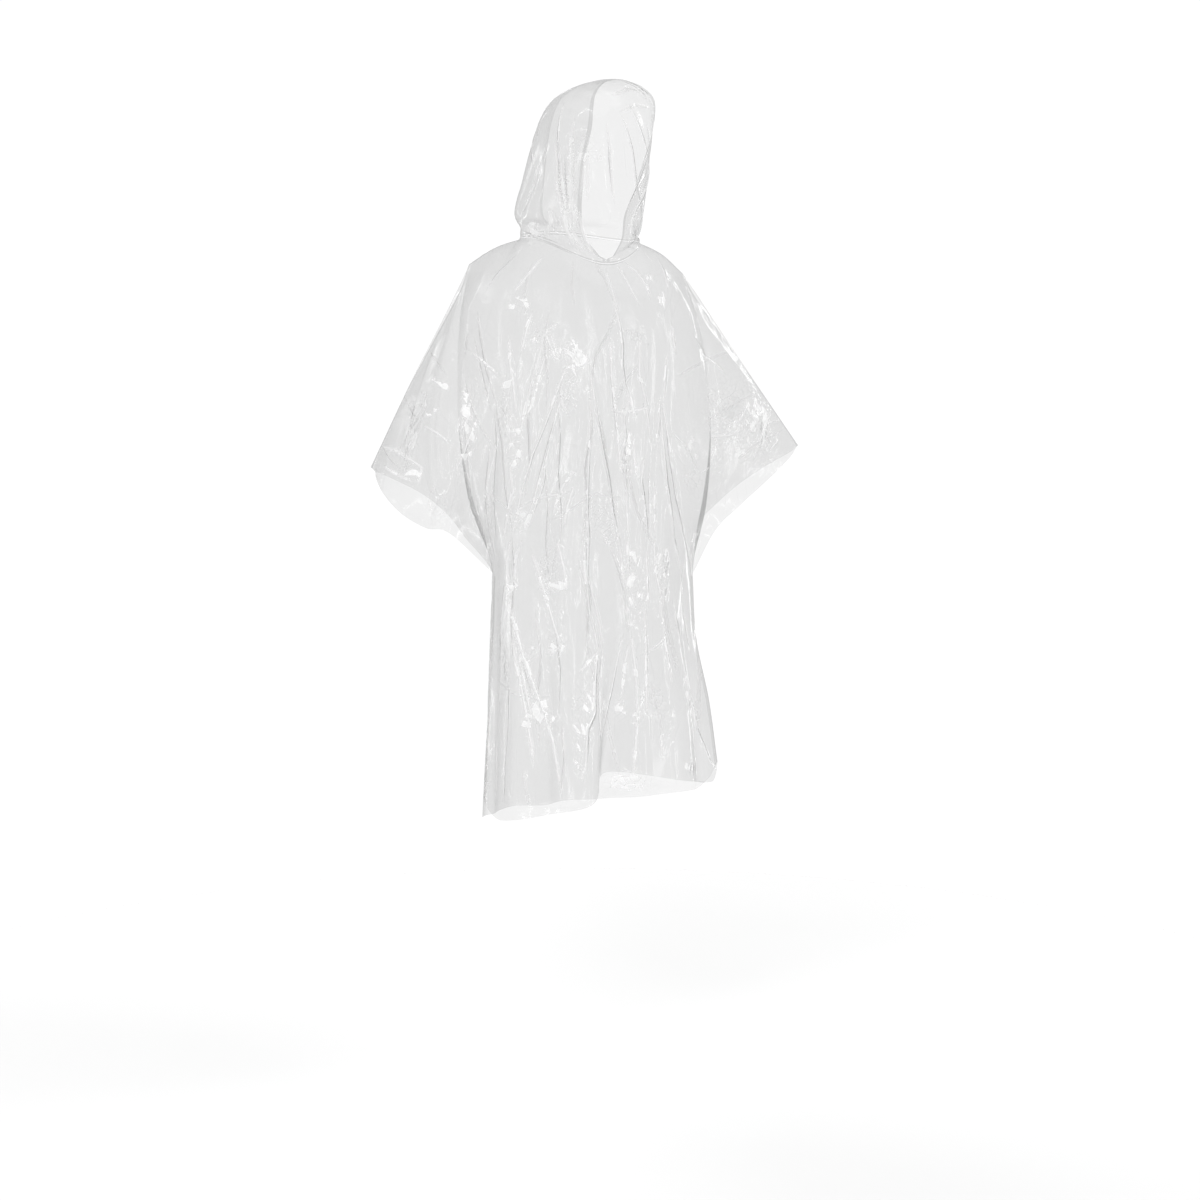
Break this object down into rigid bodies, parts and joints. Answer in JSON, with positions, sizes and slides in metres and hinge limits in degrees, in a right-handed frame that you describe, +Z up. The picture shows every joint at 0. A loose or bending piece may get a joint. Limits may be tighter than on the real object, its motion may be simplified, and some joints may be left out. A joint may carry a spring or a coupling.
{
  "type": "disposable rain poncho",
  "caption": "Clear film rain poncho worn open and hollow, with wide short sleeves cut in one with the body and a pointed hood, welded along its edges.",
  "frame": {"origin": "midway between the shoulders, at shoulder height, where the wearer holds the garment up", "axes": "+Z up, the wearer faces -Y, the wearer's left is +X"},
  "size_m": [0.9901, 0.2883, 1.3699],
  "materials": {
    "clear_film": "clear glossy polythene film with a faint milky haze"
  },
  "bodies": {
    "root": {"front_panel": "clear_film", "back_panel": "clear_film", "hood_right": "clear_film", "hood_left": "clear_film"}
  },
  "joints": []
}
